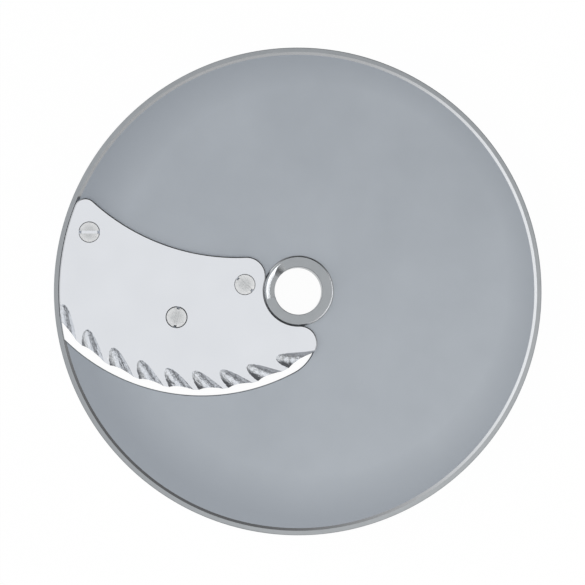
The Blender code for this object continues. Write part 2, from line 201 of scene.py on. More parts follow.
# Studio dome: its light overhead and at the horizon, and where it fades between the two
OVERHEAD_LIGHT = 1.0
HORIZON_LIGHT = 0.54
DOME_FADE_FROM = math.radians(12)
DOME_FADE_TO = math.radians(50)

# Panels and gaps on the dome: azimuth, half width, nearest and furthest angle from overhead,
# all in degrees, and light
PANEL_SOFTNESS = math.radians(3)
PANEL_SIDE_SOFTNESS = math.radians(26)
PANELS = {
    "right_wall": (345, 55, 24, 84, 0.42),
    "left_panel": (185, 52, 40, 78, 1.08),
    "dark_wall": (56, 46, 17, 84, 0.14),
    "low_wall": (60, 56, 64, 95, 0.06),
    "near_gap": (250, 100, 25, 43, 0.15),
    "low_gap": (232, 30, 66, 84, 0.12),
    "low_panel": (342, 46, 81, 95, 2.2),
}

# Key lamp high up on the lower right
KEY_AZIMUTH = math.radians(-38)
KEY_ELEVATION = math.radians(66)
KEY_DISTANCE = 0.7
KEY_SIZE = 0.45
KEY_WATTS = 0.243
KEY_COLOR = (1.0, 0.96, 0.88)

# Sockets of a mixing node, by number, because several of them share a name
MIX_FACTOR = 0
MIX_FIRST_VALUE = 2
MIX_SECOND_VALUE = 3
MIX_FIRST_COLOR = 6
MIX_SECOND_COLOR = 7
MIXED_VALUE = 0
MIXED_COLOR = 2


def polar(center, radius, angle):
    return center + radius * Vector((math.cos(angle), math.sin(angle)))


def angle_of(center, point):
    offset = point - center
    return math.atan2(offset.y, offset.x)


def crossings(center_a, radius_a, center_b, radius_b):
    """Where two circles cross: the point to the left of a line from a to b, and then the other."""
    line = center_b - center_a
    distance = line.length
    along = (radius_a**2 - radius_b**2 + distance**2) / (2 * distance)
    aside = math.sqrt(radius_a**2 - along**2)
    forward = line / distance
    left = Vector((-forward.y, forward.x))
    foot = center_a + along * forward
    return foot + aside * left, foot - aside * left


def circle_through(first, middle, last):
    """Centre and radius of the circle through three points."""
    near = middle - first
    far = last - first
    double_area = 2 * (near.x * far.y - near.y * far.x)
    x = (far.y * near.length_squared - near.y * far.length_squared) / double_area
    y = (near.x * far.length_squared - far.x * near.length_squared) / double_area
    offset = Vector((x, y))
    return first + offset, offset.length


def arc(center, radius, start, end, turning, steps):
    """Points from start to end round a centre: turning is 1 counterclockwise, -1 clockwise."""
    first = angle_of(center, start)
    sweep = (turning * (angle_of(center, end) - first)) % math.tau
    return [polar(center, radius, first + turning * sweep * i / steps) for i in range(steps + 1)]


def chained(*arcs):
    """Arcs joined into one closed outline, each shared end kept once."""
    outline = []
    for i, part in enumerate(arcs):
        following = arcs[(i + 1) % len(arcs)][0]
        shared = (part[-1] - following).length < FIT_GAP
        outline += part[:-1] if shared else part
    return outline


def finger_place():
    """Centre of the finger's round end, which touches the notch and overruns the cutting edge."""
    reach = CUTTING_RADIUS - FINGER_RADIUS + FINGER_OVERRUN
    return crossings(AXIS, NOTCH_RADIUS + FINGER_RADIUS, CUTTING_CENTER, reach)[0]


def blade_outline(inset, margin):
    """Clockwise outline, inset from the blade's own edge, and a margin past its cutting edge."""
    outer_radius = BLADE_OUTER_RADIUS - inset
    back_radius = BACK_RADIUS + inset
    notch_radius = NOTCH_RADIUS + inset
    finger_radius = FINGER_RADIUS - inset
    heel_radius = HEEL_CORNER_RADIUS - inset
    shoulder_radius = SHOULDER_CORNER_RADIUS - inset
    front_radius = CUTTING_RADIUS + margin

    finger_center = finger_place()
    heel_center = crossings(
        AXIS, outer_radius - heel_radius, BACK_CENTER, back_radius + heel_radius
    )[0]
    shoulder_center = crossings(
        AXIS, notch_radius + shoulder_radius, BACK_CENTER, back_radius + shoulder_radius
    )[0]

    front_outer = crossings(AXIS, outer_radius, CUTTING_CENTER, front_radius)[0]
    heel_outer = polar(AXIS, outer_radius, angle_of(AXIS, heel_center))
    heel_back = polar(BACK_CENTER, back_radius, angle_of(BACK_CENTER, heel_center))
    shoulder_back = polar(BACK_CENTER, back_radius, angle_of(BACK_CENTER, shoulder_center))
    shoulder_notch = polar(AXIS, notch_radius, angle_of(AXIS, shoulder_center))
    finger_notch = polar(AXIS, notch_radius, angle_of(AXIS, finger_center))
    front_angle = angle_of(CUTTING_CENTER, finger_center)
    finger_end = polar(finger_center, finger_radius, front_angle)
    front_end = polar(CUTTING_CENTER, front_radius, front_angle)

    long, short = LONG_ARC_STEPS, SHORT_ARC_STEPS
    return chained(
        arc(AXIS, outer_radius, front_outer, heel_outer, -1, short),
        arc(heel_center, heel_radius, heel_outer, heel_back, -1, short),
        arc(BACK_CENTER, back_radius, heel_back, shoulder_back, 1, long),
        arc(shoulder_center, shoulder_radius, shoulder_back, shoulder_notch, -1, short),
        arc(AXIS, notch_radius, shoulder_notch, finger_notch, 1, long),
        arc(finger_center, finger_radius, finger_notch, finger_end, -1, short),
        arc(CUTTING_CENTER, front_radius, front_end, front_outer, -1, long),
    )


def throat_outline(setback, widening):
    """Counterclockwise outline of the throat, its rear edge a setback behind the cutting edge."""
    front_center = CUTTING_CENTER + Vector((0, THROAT_FLARE))
    front_radius = CUTTING_RADIUS + THROAT_GAP + THROAT_FLARE + widening
    end_radius = THROAT_END_RADIUS + widening
    end_angle = angle_of(CUTTING_CENTER, finger_place()) - THROAT_END_LAG
    end_center = polar(front_center, front_radius - end_radius, end_angle)

    front_outer = crossings(AXIS, BLADE_OUTER_RADIUS, front_center, front_radius)[0]
    front_end = polar(front_center, front_radius, end_angle)
    tip = crossings(end_center, end_radius, CUTTING_CENTER, CUTTING_RADIUS)[1]
    edge_outer = crossings(AXIS, BLADE_OUTER_RADIUS, CUTTING_CENTER, CUTTING_RADIUS)[0]
    heel_lap = THROAT_HEEL_LAP + (setback - THROAT_SETBACK) / BLADE_OUTER_RADIUS
    rear_outer = polar(AXIS, BLADE_OUTER_RADIUS, angle_of(AXIS, edge_outer) - heel_lap)
    rear_middle = polar(CUTTING_CENTER, CUTTING_RADIUS - setback, -math.pi / 2)
    rear_center, rear_radius = circle_through(rear_outer, rear_middle, tip)

    long, short = LONG_ARC_STEPS, SHORT_ARC_STEPS
    return chained(
        arc(front_center, front_radius, front_outer, front_end, 1, long),
        arc(end_center, end_radius, front_end, tip, 1, short),
        arc(rear_center, rear_radius, tip, rear_outer, -1, long),
        arc(AXIS, BLADE_OUTER_RADIUS, rear_outer, front_outer, 1, short),
    )


def screw_places():
    """Each screw's place, the angle of its slot, and the gap that shows round its head."""
    outer = polar(AXIS, BLADE_OUTER_RADIUS - OUTER_SCREW_MARGIN, OUTER_SCREW_ANGLE)
    middle = polar(AXIS, MIDDLE_SCREW_RADIUS, MIDDLE_SCREW_ANGLE)
    inner = polar(AXIS, NOTCH_RADIUS + INNER_SCREW_MARGIN, INNER_SCREW_ANGLE)
    return {
        "outer": (outer, OUTER_SLOT_ANGLE, OUTER_HEAD_GAP),
        "middle": (middle, MIDDLE_SLOT_ANGLE, MIDDLE_HEAD_GAP),
        "inner": (inner, INNER_SLOT_ANGLE, INNER_HEAD_GAP),
    }


def wired(tree, kind, inputs, **settings):
    """A node with its settings made, and each input given a value or another node's output."""
    node = tree.nodes.new(kind)
    for name, value in settings.items():
        setattr(node, name, value)
    for key, value in inputs.items():
        if isinstance(value, bpy.types.NodeSocket):
            tree.links.new(value, node.inputs[key])
        else:
            node.inputs[key].default_value = value
    return node


def math_node(tree, operation, first, second=0.0):
    return wired(tree, "ShaderNodeMath", {0: first, 1: second}, operation=operation).outputs[0]


def vector_node(tree, operation, first, second=(0, 0, 0)):
    return wired(tree, "ShaderNodeVectorMath", {0: first, 1: second}, operation=operation)


def remapped(tree, value, low=0.0, high=1.0, from_low=0.0, from_high=1.0):
    inputs = {
        "Value": value,
        "From Min": from_low,
        "From Max": from_high,
        "To Min": low,
        "To Max": high,
    }
    return wired(tree, "ShaderNodeMapRange", inputs).outputs["Result"]


def object_coordinates(tree):
    return wired(tree, "ShaderNodeTexCoord", {}).outputs["Object"]


def moved_to(tree, vector, center):
    """Coordinates counted from an upright axis through a centre."""
    return vector_node(tree, "SUBTRACT", vector, (*center, 0)).outputs[0]


def noise(tree, vector, scale, detail=3.0, roughness=0.5):
    """Noise whose scale is in waves to the metre."""
    inputs = {"Vector": vector, "Scale": scale, "Detail": detail, "Roughness": roughness}
    return wired(tree, "ShaderNodeTexNoise", inputs).outputs["Fac"]


def radius_and_angle(tree, vector):
    """Distance from the upright axis that the coordinates count from, and angle round it."""
    axes = wired(tree, "ShaderNodeSeparateXYZ", {0: vector})
    flat = wired(tree, "ShaderNodeCombineXYZ", {"X": axes.outputs["X"], "Y": axes.outputs["Y"]})
    radius = vector_node(tree, "LENGTH", flat.outputs[0]).outputs["Value"]
    angle = math_node(tree, "ARCTAN2", axes.outputs["Y"], axes.outputs["X"])
    return radius, angle


def turning_marks(tree, vector, scale, drift):
    """Noise drawn out into rings about the axis, with drift waves to each radian round them."""
    radius, angle = radius_and_angle(tree, vector)
    along = math_node(tree, "MULTIPLY", angle, drift / scale)
    height = wired(tree, "ShaderNodeSeparateXYZ", {0: vector}).outputs["Z"]
    place = wired(tree, "ShaderNodeCombineXYZ", {"X": radius, "Y": along, "Z": height})
    return noise(tree, place.outputs[0], scale, detail=4.0, roughness=0.6)


def grey(level):
    return (level, level, level, 1)


def mixed_color(tree, factor, first, second):
    inputs = {MIX_FACTOR: factor, MIX_FIRST_COLOR: first, MIX_SECOND_COLOR: second}
    return wired(tree, "ShaderNodeMix", inputs, data_type="RGBA").outputs[MIXED_COLOR]


def mixed_value(tree, factor, first, second):
    inputs = {MIX_FACTOR: factor, MIX_FIRST_VALUE: first, MIX_SECOND_VALUE: second}
    return wired(tree, "ShaderNodeMix", inputs, data_type="FLOAT").outputs[MIXED_VALUE]


def tinted(tree, factor, dark, light):
    return mixed_color(tree, factor, (*dark, 1), (*light, 1))


def bumped(tree, height, distance, strength=1.0, normal=None):
    inputs = {"Height": height, "Distance": distance, "Strength": strength}
    if normal:
        inputs["Normal"] = normal
    return wired(tree, "ShaderNodeBump", inputs).outputs["Normal"]


def new_metal(name):
    """A fully metallic material, with its node tree and shader."""
    material = bpy.data.materials.new(name)
    material.use_nodes = True
    tree = material.node_tree
    shader = tree.nodes["Principled BSDF"]
    shader.inputs["Metallic"].default_value = 1
    return material, tree, shader


def finish_shader(tree, shader, color, roughness, normal):
    tree.links.new(color, shader.inputs["Base Color"])
    tree.links.new(roughness, shader.inputs["Roughness"])
    tree.links.new(normal, shader.inputs["Normal"])


def blasted_aluminium():
    """Bead blasted casting: fine even grain, faint clouding, and painted shade in a band at the
    rim.
    """
    material, tree, shader = new_metal("blasted_aluminium")
    place = object_coordinates(tree)
    grain = noise(tree, place, scale=2400, detail=4.0, roughness=0.6)
    clouds = noise(tree, place, scale=38)
    grain_part = math_node(tree, "MULTIPLY", grain, GRAIN_SHARE)
    cloud_part = math_node(tree, "MULTIPLY", clouds, 1 - GRAIN_SHARE)
    shade = math_node(tree, "ADD", grain_part, cloud_part)
    color = tinted(tree, shade, dark=(0.516, 0.561, 0.617), light=(0.667, 0.716, 0.777))
    # Painted shade: the colour darkens towards the rim, and most at the lower left
    radius, _ = radius_and_angle(tree, moved_to(tree, place, PAINTED_RIM_SHADE_CENTER))
    painted_rim_shade = remapped(tree, radius, from_low=PAINTED_RIM_SHADE_START, from_high=RIM_INNER_RADIUS)
    color = mixed_color(tree, painted_rim_shade, color, (*PAINTED_RIM_SHADE_COLOR, 1))
    roughness = remapped(tree, grain, low=0.42, high=0.58)
    normal = bumped(tree, grain, distance=0.00003, strength=0.6)
    finish_shader(tree, shader, color, roughness, normal)
    return material


def turned_aluminium():
    """Lathe turned faces of the casting: fine rings."""
    material, tree, shader = new_metal("turned_aluminium")
    place = object_coordinates(tree)
    rings = turning_marks(tree, place, scale=5200, drift=3.0)
    blotches = noise(tree, place, scale=160)
    color = tinted(tree, blotches, dark=(0.372, 0.395, 0.416), light=(0.425, 0.447, 0.469))
    roughness = remapped(tree, rings, low=0.26, high=0.42)
    normal = bumped(tree, rings, distance=0.000012, strength=0.8)
    finish_shader(tree, shader, color, roughness, normal)
    return material


def bright_aluminium():
    """Bright cut faces: the chamfers inside the rim and on the hub, and the recess's wall."""
    material, tree, shader = new_metal("bright_aluminium")
    place = object_coordinates(tree)
    rings = turning_marks(tree, place, scale=6500, drift=4.0)
    blotches = noise(tree, place, scale=220)
    color = tinted(tree, blotches, dark=(0.73, 0.75, 0.775), light=(0.81, 0.83, 0.855))
    roughness = remapped(tree, rings, low=0.14, high=0.26)
    normal = bumped(tree, rings, distance=0.000006, strength=0.8)
    finish_shader(tree, shader, color, roughness, normal)
    return material


def milled_aluminium():
    """End milled floor of the drive recess: smoother than the turned faces."""
    material, tree, shader = new_metal("milled_aluminium")
    place = object_coordinates(tree)
    blotches = noise(tree, place, scale=300)
    color = tinted(tree, blotches, dark=(0.33, 0.345, 0.36), light=(0.39, 0.405, 0.415))
    rings = turning_marks(tree, place, scale=4000, drift=5.0)
    roughness = remapped(tree, rings, low=0.22, high=0.32)
    normal = bumped(tree, rings, distance=0.000008, strength=0.8)
    finish_shader(tree, shader, color, roughness, normal)
    return material


def polished_steel():
    """Mirror polished stainless steel: a fine haze and a faint waviness."""
    material, tree, shader = new_metal("polished_steel")
    place = object_coordinates(tree)
    waves = noise(tree, place, scale=70, detail=2.0, roughness=0.4)
    haze = noise(tree, place, scale=900, detail=5.0, roughness=0.65)
    color = tinted(tree, waves, dark=(0.70, 0.72, 0.755), light=(0.745, 0.765, 0.80))
    roughness = remapped(tree, haze, low=0.07, high=0.16)
    wavy = bumped(tree, waves, distance=0.00003, strength=0.5)
    normal = bumped(tree, haze, distance=0.0000015, strength=0.6, normal=wavy)
    finish_shader(tree, shader, color, roughness, normal)
    return material


def ground_steel():
    """Ground steel of flutes and bevel: streaks along the grinding, and shallow hollows."""
    material, tree, shader = new_metal("ground_steel")
    place = object_coordinates(tree)
    streaks = turning_marks(tree, place, scale=2600, drift=60.0)
    waves = turning_marks(tree, place, scale=700, drift=20.0)
    color = tinted(tree, waves, dark=(0.5, 0.53, 0.58), light=(0.72, 0.75, 0.8))
    roughness = remapped(tree, streaks, low=0.06, high=0.18)
    hollows = noise(tree, place, scale=520, detail=2.0)
    hollowed = bumped(tree, hollows, distance=0.00018, strength=0.7)
    wavy = bumped(tree, waves, distance=0.00034, strength=0.7, normal=hollowed)
    normal = bumped(tree, streaks, distance=0.000006, strength=0.7, normal=wavy)
    finish_shader(tree, shader, color, roughness, normal)
    return material


def screw_steel(center):
    """Turned and lightly worn screw head: fine rings about the screw's own axis."""
    material, tree, shader = new_metal("screw_steel")
    place = moved_to(tree, object_coordinates(tree), center)
    rings = turning_marks(tree, place, scale=6000, drift=6.0)
    scratches = noise(tree, place, scale=1100, detail=4.0, roughness=0.6)
    wear = remapped(tree, scratches, from_low=0.32, from_high=0.68)
    radius, _ = radius_and_angle(tree, place)
    # Painted highlight: the head's colour lightens towards its margin
    margin = remapped(
        tree,
        radius,
        high=PAINTED_HEAD_HIGHLIGHT,
        from_low=PAINTED_HEAD_HIGHLIGHT_RADIUS,
        from_high=SCREW_HEAD_DIAMETER / 2,
    )
    shade = math_node(tree, "ADD", wear, margin)
    color = tinted(tree, shade, dark=(0.49, 0.505, 0.515), light=(0.78, 0.79, 0.80))
    roughness = remapped(tree, wear, low=0.18, high=0.42)
    ringed = bumped(tree, rings, distance=0.000008, strength=0.7)
    normal = bumped(tree, wear, distance=0.00002, strength=0.5, normal=ringed)
    finish_shader(tree, shader, color, roughness, normal)
    return material


def new_object(name, data):
    obj = bpy.data.objects.new(name, data)
    bpy.context.scene.collection.objects.link(obj)
    return obj


def mesh_object(name, form, *materials):
    """An object from a bmesh, with its faces pointing out."""
    bmesh.ops.recalc_face_normals(form, faces=form.faces)
    mesh = bpy.data.meshes.new(name)
    form.to_mesh(mesh)
    form.free()
    for material in materials:
        mesh.materials.append(material)
    return new_object(name, mesh)


def turned(name, profile, steps, *materials):
    """A solid of revolution. A profile point is a radius, a height and the material after it.

    A point on the axis stands for a whole ring, so the faces that meet it have three corners.
    """
    form = bmesh.new()
    angles = [math.tau * i / steps for i in range(steps)]
    rings = []
    for radius, height, _ in profile:
        around = angles if radius else [0]
        ring = [form.verts.new((*polar(AXIS, radius, angle), height)) for angle in around]
        rings.append(ring if radius else ring * steps)
    for upper, lower, (_, _, material_index) in zip(rings, rings[1:] + rings[:1], profile):
        for i in range(steps):
            corners = list(dict.fromkeys((upper[i], upper[i - 1], lower[i - 1], lower[i])))
            if len(corners) > 2:
                form.faces.new(corners).material_index = material_index
    return mesh_object(name, form, *materials)


def lofted(name, sections, *materials, second_material_side=None):
    """A solid skinned over closed sections of equal point counts, with both ends filled."""
    form = bmesh.new()
    rings = [[form.verts.new(point) for point in section] for section in sections]
    for lower, upper in zip(rings, rings[1:]):
        for i in range(len(lower)):
            face = form.faces.new((lower[i - 1], lower[i], upper[i], upper[i - 1]))
            face.material_index = int(i == second_material_side)
    form.faces.new(rings[0])
    form.faces.new(rings[-1])
    bmesh.ops.triangulate(form, faces=form.faces)
    return mesh_object(name, form, *materials)


def evaluated_mesh(obj):
    """The mesh that the object's modifiers, or its curve, come out as."""
    bpy.context.view_layer.update()
    graph = bpy.context.evaluated_depsgraph_get()
    return bpy.data.meshes.new_from_object(obj.evaluated_get(graph))


def combined(target, others, operation):
    """Joins others to the target or cuts it with them.

    The others are removed, and the faces they leave keep their materials.
    """
    for other in others:
        boolean = target.modifiers.new(other.name, "BOOLEAN")
        boolean.operation = operation
        boolean.object = other
        boolean.solver = "EXACT"
        boolean.material_mode = "TRANSFER"
    mesh = evaluated_mesh(target)
    target.modifiers.clear()
    target.data = mesh
    for other in others:
        bpy.data.objects.remove(other)


def shaded(obj):
    """Smooth over the curves, and flat on the flat faces."""
    obj.data.shade_smooth()
    obj.data.set_sharp_from_angle(angle=SHARP_ANGLE)
    weighted = obj.modifiers.new("weighted_normals", "WEIGHTED_NORMAL")
    weighted.keep_sharp = True
    weighted.weight = LARGE_FACE_WEIGHT


def placed(obj, node):
    """Hides the CAD node that the piece stands in for, and puts the piece on its body."""
    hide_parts(node)
    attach(obj, BODY)


def fillet_points(center_out, center_up, radius, start, end, steps):
    """Profile points of a rounding, between two directions seen from its centre."""
    angles = [start + (end - start) * i / steps for i in range(steps + 1)]
    return [
        (center_out + radius * math.cos(angle), center_up + radius * math.sin(angle))
        for angle in angles
    ]


def with_material(points, index):
    return [(radius, height, index) for radius, height in points]


def disc_profile():
    """Half section of the casting, from the bore's top out over the rim and back under the hub."""
    blasted, machined, bright = 0, 1, 2
    right, up, left, down = 0, math.pi / 2, math.pi, -math.pi / 2
    edge = EDGE_ROUND
    hub_foot = (HUB_RADIUS + HUB_FOOT_FILLET, FACE_Z + HUB_FOOT_FILLET, HUB_FOOT_FILLET)
    seat_foot = (SEAT_RADIUS + SEAT_FILLET, UNDERSIDE_Z - SEAT_FILLET, SEAT_FILLET)

    def corner(radius, height, start, end):
        return fillet_points(radius, height, edge, start, end, ROUND_STEPS)

    return [
        *with_material(corner(BORE_RADIUS + edge, HUB_TOP_Z - edge, left, up), machined),
        (HUB_RADIUS - HUB_EDGE_RUN, HUB_TOP_Z, bright),
        (HUB_RADIUS, HUB_TOP_Z - HUB_EDGE_DROP, machined),
        *with_material(fillet_points(*hub_foot, left, left + up, FILLET_STEPS)[:-1], machined),
        (HUB_RADIUS + HUB_FOOT_FILLET, FACE_Z, blasted),
        (RIM_INNER_RADIUS - RIM_CHAMFER_RUN, FACE_Z, bright),
        (RIM_INNER_RADIUS, RIM_TOP_Z, machined),
        *with_material(corner(DISC_RADIUS - edge, RIM_TOP_Z - edge, up, right), machined),
        *with_material(corner(DISC_RADIUS - edge, UNDERSIDE_Z + edge, right, down)[:-1], machined),
        (DISC_RADIUS - edge, UNDERSIDE_Z, blasted),
        *with_material(fillet_points(*seat_foot, up, left, FILLET_STEPS), blasted),
        *with_material(corner(SEAT_RADIUS - edge, edge, right, down), machined),
        *with_material(corner(BORE_RADIUS + edge, edge, down, -left), machined),
    ]


def recess_section(angle):
    """Section of the recess's cutter at one angle: open to the bore, with a sloped outer wall."""
    climbed = max(0, (RECESS_RAMP_ANGLE - angle) / (RECESS_RAMP_ANGLE - RECESS_END_ANGLE))
    floor_depth = RECESS_DEPTH * (1 - math.sin(math.pi / 2 * climbed))
    slope = RECESS_WALL_RUN / RECESS_DEPTH
    wall_foot = BORE_RADIUS + RECESS_FLOOR_WIDTH + RECESS_WALL_RUN - floor_depth * slope
    wall_top = BORE_RADIUS + RECESS_FLOOR_WIDTH + RECESS_WALL_RUN + CUT_MARGIN * slope
    corners = [
        (BORE_RADIUS - CUT_MARGIN, HUB_TOP_Z - floor_depth),
        (wall_foot, HUB_TOP_Z - floor_depth),
        (wall_top, HUB_TOP_Z + CUT_MARGIN),
        (BORE_RADIUS - CUT_MARGIN, HUB_TOP_Z + CUT_MARGIN),
    ]
    return [(*polar(AXIS, radius, angle), height) for radius, height in corners]


def recess_cutter(floor, wall):
    wall_side = 2
    sweep = RECESS_DOG_ANGLE - RECESS_END_ANGLE
    angles = [RECESS_END_ANGLE + sweep * i / LONG_ARC_STEPS for i in range(LONG_ARC_STEPS + 1)]
    angles = sorted([*angles, RECESS_RAMP_ANGLE])
    sections = [recess_section(angle) for angle in angles]
    return lofted("recess_cutter", sections, floor, wall, second_material_side=wall_side)


def throat_section(height, widening):
    """The throat's outline at one height: going down, its rear wall leans back under the blade."""
    setback = THROAT_SETBACK + (PAD_Z - height) * math.tan(THROAT_RAKE_ANGLE)
    return [(point.x, point.y, height) for point in throat_outline(setback, widening)]


def throat_cutter(material):
    sections = [
        throat_section(UNDERSIDE_Z - CUT_MARGIN, 0),
        throat_section(FACE_Z - THROAT_LIP_CHAMFER, 0),
        throat_section(FACE_Z, THROAT_LIP_CHAMFER),
        throat_section(RIM_TOP_Z + CUT_MARGIN, THROAT_LIP_CHAMFER),
    ]
    return lofted("throat_cutter", sections, material)


def at_height(outline, height):
    return [(point.x, point.y, height) for point in outline]


def hole_profile(head_gap):
    """Half section of the countersunk hole that a screw fits in."""
    head_radius = SCREW_HEAD_DIAMETER / 2 + head_gap
    thread_radius = SCREW_THREAD_DIAMETER / 2 + FIT_GAP
    cone_top = BLADE_TOP_Z - SCREW_HEAD_SINK - SCREW_HEAD_LAND
    points = [
        (0, BLADE_TOP_Z + CUT_MARGIN),
        (head_radius, BLADE_TOP_Z + CUT_MARGIN),
        (head_radius, cone_top),
        (thread_radius, cone_top - (head_radius - thread_radius)),
        (thread_radius, UNDERSIDE_Z - CUT_MARGIN),
        (0, UNDERSIDE_Z - CUT_MARGIN),
    ]
    return with_material(points, 0)


def screw_holes(material):
    holes = []
    for place_name, (place, _, head_gap) in screw_places().items():
        hole = turned(place_name + "_hole", hole_profile(head_gap), SCREW_STEPS, material)
        hole.location = (*place, 0)
        holes.append(hole)
    return holes


def add_disc(blasted, machined, bright, milled):
    disc = turned("cutting_disc", disc_profile(), TURNED_STEPS, blasted, machined, bright)
    pad_outline = blade_outline(PAD_INSET, 0)
    pad_sections = [at_height(pad_outline, FACE_Z - CUT_MARGIN), at_height(pad_outline, PAD_Z)]
    combined(disc, [lofted("pad", pad_sections, machined)], "UNION")
    cutters = [throat_cutter(machined), recess_cutter(milled, bright), *screw_holes(machined)]
    combined(disc, cutters, "DIFFERENCE")
    shaded(disc)
    placed(disc, "disc")


def bevel_cone(material):
    """The cone whose side is the bevel: the cutting edge is where it meets the blade's top."""
    low = BLADE_LOW_Z - CUT_MARGIN
    high = BLADE_TOP_Z + CUT_MARGIN
    slope = 1 / math.tan(CUTTING_BEVEL_ANGLE)
    form = bmesh.new()
    bmesh.ops.create_cone(
        form,
        cap_ends=True,
        segments=BEVEL_STEPS,
        radius1=CUTTING_RADIUS - (BLADE_TOP_Z - low) * slope,
        radius2=CUTTING_RADIUS + (high - BLADE_TOP_Z) * slope,
        depth=high - low,
        matrix=Matrix.Translation((*CUTTING_CENTER, (low + high) / 2)),
    )
    return mesh_object("cutting_bevel", form, material)


def flute_path(edge_point):
    """Centre line of the round form that grinds one flute: an arc about the axis that dips."""
    reach = FLUTE_LENGTH + FLUTE_RUN_OUT
    dip_radius = (reach**2 + FLUTE_DEPTH**2) / (2 * FLUTE_DEPTH) - FLUTE_FORM_RADIUS
    lowest = BLADE_TOP_Z - FLUTE_DEPTH + FLUTE_FORM_RADIUS
    travel_radius = edge_point.length
    deepest_angle = angle_of(AXIS, edge_point) + FLUTE_RUN_OUT / travel_radius
    sweep = math.asin((reach + FLUTE_FORM_RADIUS) / dip_radius)
    path = []
    for i in range(FLUTE_PATH_STEPS + 1):
        dip_angle = sweep * (i / FLUTE_PATH_STEPS * 2 - 1)
        along = dip_radius * math.sin(dip_angle)
        height = lowest + dip_radius * (1 - math.cos(dip_angle))
        path.append((*polar(AXIS, travel_radius, deepest_angle + along / travel_radius), height))
    return path


def flute_cutter(name, edge_point, material):
    """A round bar bent along the flute's path."""
    curve = bpy.data.curves.new(name, "CURVE")
    curve.dimensions = "3D"
    curve.bevel_depth = FLUTE_FORM_RADIUS
    curve.bevel_resolution = FLUTE_RING_RESOLUTION
    curve.use_fill_caps = True
    path = flute_path(edge_point)
    spline = curve.splines.new("POLY")
    spline.points.add(len(path) - 1)
    for spline_point, point in zip(spline.points, path):
        spline_point.co = (*point, 1)
    drawn = new_object(name + "_path", curve)
    mesh = evaluated_mesh(drawn)
    bpy.data.objects.remove(drawn)
    form = bmesh.new()
    form.from_mesh(mesh)
    bmesh.ops.remove_doubles(form, verts=form.verts, dist=WELD_DISTANCE)
    return mesh_object(name, form, material)


def flute_edge_points():
    """Where each flute's centre line crosses the cutting edge, evenly spaced from the rim in."""
    innermost = finger_place().length + FINGER_RADIUS / 2
    radii = []
    radius = BLADE_OUTER_RADIUS - FLUTE_OUTER_INSET
    while radius > innermost:
        radii.append(radius)
        radius -= FLUTE_PITCH
    return [crossings(AXIS, radius, CUTTING_CENTER, CUTTING_RADIUS)[0] for radius in radii]


def blade_sections():
    """Outlines up the blade's thickness, drawn in at its chamfered lower and upper edges."""
    sections = [
        (BLADE_LOW_Z, BLADE_EDGE_RUN),
        (BLADE_LOW_Z + BLADE_EDGE_DROP, 0),
        (BLADE_TOP_Z - BLADE_EDGE_DROP, 0),
        (BLADE_TOP_Z, BLADE_EDGE_RUN),
    ]
    return [at_height(blade_outline(inset, CUT_MARGIN), height) for height, inset in sections]


def add_blade(polished, ground):
    blade = lofted("cutting_blade", blade_sections(), polished)
    combined(blade, [bevel_cone(ground)], "INTERSECT")
    flutes = [
        flute_cutter(f"flute_{number}", edge_point, ground)
        for number, edge_point in enumerate(flute_edge_points(), 1)
    ]
    combined(blade, [*flutes, *screw_holes(ground)], "DIFFERENCE")
    shaded(blade)
    placed(blade, "blade")


def screw_profile():
    """Half section of a countersunk screw, from its rounded head to its chamfered tip."""
    head_radius = SCREW_HEAD_DIAMETER / 2
    thread_radius = SCREW_THREAD_DIAMETER / 2
    top = BLADE_TOP_Z - SCREW_HEAD_SINK
    cone_top = top - SCREW_HEAD_LAND
    tip = UNDERSIDE_Z + SCREW_TIP_INSET
    rounding = fillet_points(
        head_radius - SCREW_HEAD_ROUND,
        top - SCREW_HEAD_ROUND,
        SCREW_HEAD_ROUND,
        math.pi / 2,
        0,
        ROUND_STEPS,
    )
    points = [
        (0, top),
        *rounding,
        (head_radius, cone_top),
        (thread_radius, cone_top - (head_radius - thread_radius)),
        (thread_radius, tip + SCREW_TIP_CHAMFER),
        (thread_radius - SCREW_TIP_CHAMFER, tip),
        (0, tip),
    ]
    return with_material(points, 0)


def add_screw(name, node, place, slot_angle, material, slot_material):
    screw = turned(name, screw_profile(), SCREW_STEPS, material)
    screw.data.transform(Matrix.Translation((*place, 0)))
    slot_low = BLADE_TOP_Z - SCREW_HEAD_SINK - SLOT_DEPTH
    slot_length = SCREW_HEAD_DIAMETER + CUT_MARGIN
    slot_height = SLOT_DEPTH + CUT_MARGIN
    slot_shape = Matrix.Diagonal((slot_length, SLOT_WIDTH, slot_height, 1))
    form = bmesh.new()
    bmesh.ops.create_cube(form, size=1, matrix=slot_shape)
    slot = mesh_object(name + "_slot", form, slot_material)
    slot.location = (*place, slot_low + slot_height / 2)
    slot.rotation_euler.z = slot_angle
    combined(screw, [slot], "DIFFERENCE")
    shaded(screw)
    placed(screw, node)


